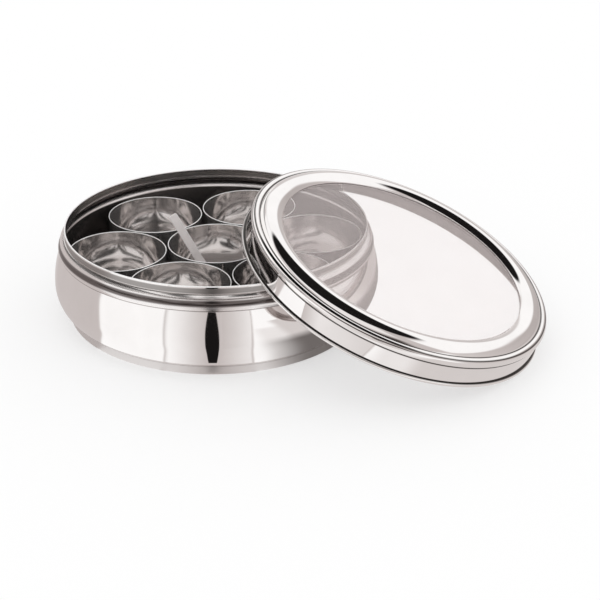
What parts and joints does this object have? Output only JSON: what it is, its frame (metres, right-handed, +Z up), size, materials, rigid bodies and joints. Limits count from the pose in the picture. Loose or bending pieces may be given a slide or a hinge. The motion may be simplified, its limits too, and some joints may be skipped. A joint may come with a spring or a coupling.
{
  "type": "masala box",
  "caption": "Round bellied steel spice box with loose inner bowls, a small spoon and a see-through lid leaning against its rim.",
  "frame": {"origin": "middle of the box's flat base, on the table", "axes": "+Z up out of the box's mouth, +X towards the side where the lid leans, +Y away from the viewer"},
  "size_m": [0.3064, 0.238, 0.0878],
  "materials": {
    "polished_steel": "polished",
    "bowl_steel": "polished",
    "clear_window": "clear, polished"
  },
  "bodies": {
    "box": {"box_shell": "polished_steel"},
    "centre_bowl": {"bowl_centre": "bowl_steel"},
    "right_bowl": {"bowl_right": "bowl_steel"},
    "back_right_bowl": {"bowl_back_right": "bowl_steel"},
    "back_left_bowl": {"bowl_back_left": "bowl_steel"},
    "left_bowl": {"bowl_left": "bowl_steel"},
    "front_bowl": {"bowl_front": "bowl_steel"},
    "front_right_bowl": {"bowl_front_right": "bowl_steel"},
    "spice_spoon": {"spoon": "polished_steel"},
    "lid": {"lid_ring": "polished_steel", "lid_window": "clear_window", "retaining_ring": "bowl_steel"}
  },
  "joints": [
    {"name": "lid_lift", "type": "slide", "parent": "box", "child": "lid", "axis": [0, 0, 1], "range_m": [0, 0.1]},
    {"name": "centre_bowl_lift", "type": "slide", "parent": "box", "child": "centre_bowl", "axis": [0, 0, 1], "range_m": [0, 0.024]},
    {"name": "right_bowl_lift", "type": "slide", "parent": "box", "child": "right_bowl", "axis": [0, 0, 1], "range_m": [0, 0.015]},
    {"name": "back_right_bowl_lift", "type": "slide", "parent": "box", "child": "back_right_bowl", "axis": [0, 0, 1], "range_m": [0, 0.062]},
    {"name": "back_left_bowl_lift", "type": "slide", "parent": "box", "child": "back_left_bowl", "axis": [0, 0, 1], "range_m": [0, 0.062]},
    {"name": "left_bowl_lift", "type": "slide", "parent": "box", "child": "left_bowl", "axis": [0, 0, 1], "range_m": [0, 0.062]},
    {"name": "front_bowl_lift", "type": "slide", "parent": "box", "child": "front_bowl", "axis": [0, 0, 1], "range_m": [0, 0.062]},
    {"name": "front_right_bowl_lift", "type": "slide", "parent": "box", "child": "front_right_bowl", "axis": [0, 0, 1], "range_m": [0, 0.018]},
    {"name": "spoon_lift", "type": "slide", "parent": "centre_bowl", "child": "spice_spoon", "axis": [0, 0, 1], "range_m": [0, 0.06]}
  ]
}
